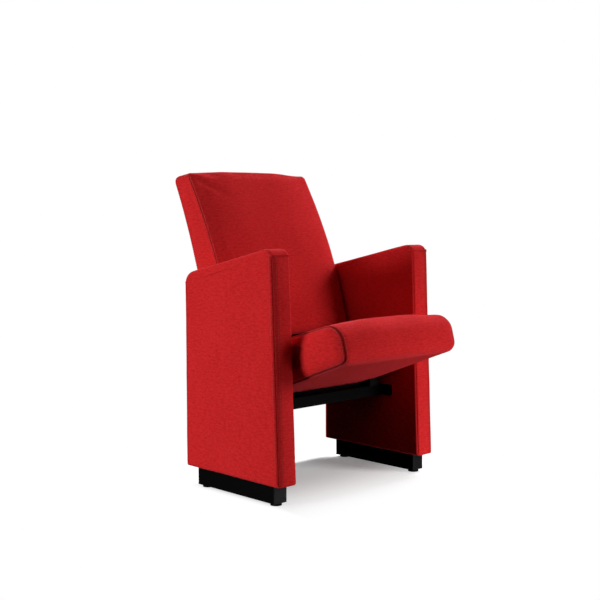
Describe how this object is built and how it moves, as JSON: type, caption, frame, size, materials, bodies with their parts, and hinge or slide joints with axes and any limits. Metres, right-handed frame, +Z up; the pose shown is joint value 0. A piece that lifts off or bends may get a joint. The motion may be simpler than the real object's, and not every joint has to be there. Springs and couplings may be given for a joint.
{
  "type": "conference armchair",
  "caption": "Low-backed conference armchair with padded side panels as arms, black plinths and a padded seat that tips up on stub pins above a cross beam.",
  "frame": {"origin": "on the floor, under the middle of the chair's overall box", "axes": "+Z up, the chair faces -Y, and +X is to the right as seen from the front; left and right in node names are as seen from the front"},
  "size_m": [0.609, 0.6717, 0.8715],
  "materials": {
    "red_fabric": "matte",
    "foam": "matte",
    "black_paint": "matte",
    "black_plastic": "matte",
    "black_rubber": "matte",
    "steel": "satin",
    "plywood": "satin",
    "nylon": "satin"
  },
  "bodies": {
    "stand": {"floor_glides": "black_rubber", "plinth_left": "black_paint", "plinth_right": "black_paint", "plinth_end_caps": "black_plastic", "plinth_bolts": "steel", "side_frame_left": "steel", "side_frame_right": "steel", "outer_board_left": "plywood", "outer_board_right": "plywood", "inner_board_left": "plywood", "inner_board_right": "plywood", "side_board_screws": "steel", "side_padding_left": "foam", "side_padding_right": "foam", "side_cover_left": "red_fabric", "side_cover_right": "red_fabric", "cross_beam": "black_paint", "beam_bolts": "black_paint", "stop_buffers": "black_rubber", "buffer_screws": "steel", "pivot_pin_left": "steel", "pivot_pin_right": "steel", "pivot_washers": "nylon", "back_rails": "steel", "back_ribs": "plywood", "back_board": "plywood", "back_board_screws": "steel", "back_foam": "foam", "back_cover": "red_fabric", "back_spacers": "black_paint", "back_bolts": "steel"},
    "seat": {"seat_frame": "steel", "seat_webbing": "black_rubber", "seat_board": "plywood", "seat_board_screws": "steel", "seat_foam": "foam", "seat_cover": "red_fabric", "pivot_bush_left": "nylon", "pivot_bush_right": "nylon"}
  },
  "joints": [
    {"name": "seat_tip", "type": "hinge", "parent": "stand", "child": "seat", "pos_m": [0, 0.01477, 0.314], "axis": [-1, 0, 0], "range_deg": [0, 61]}
  ]
}
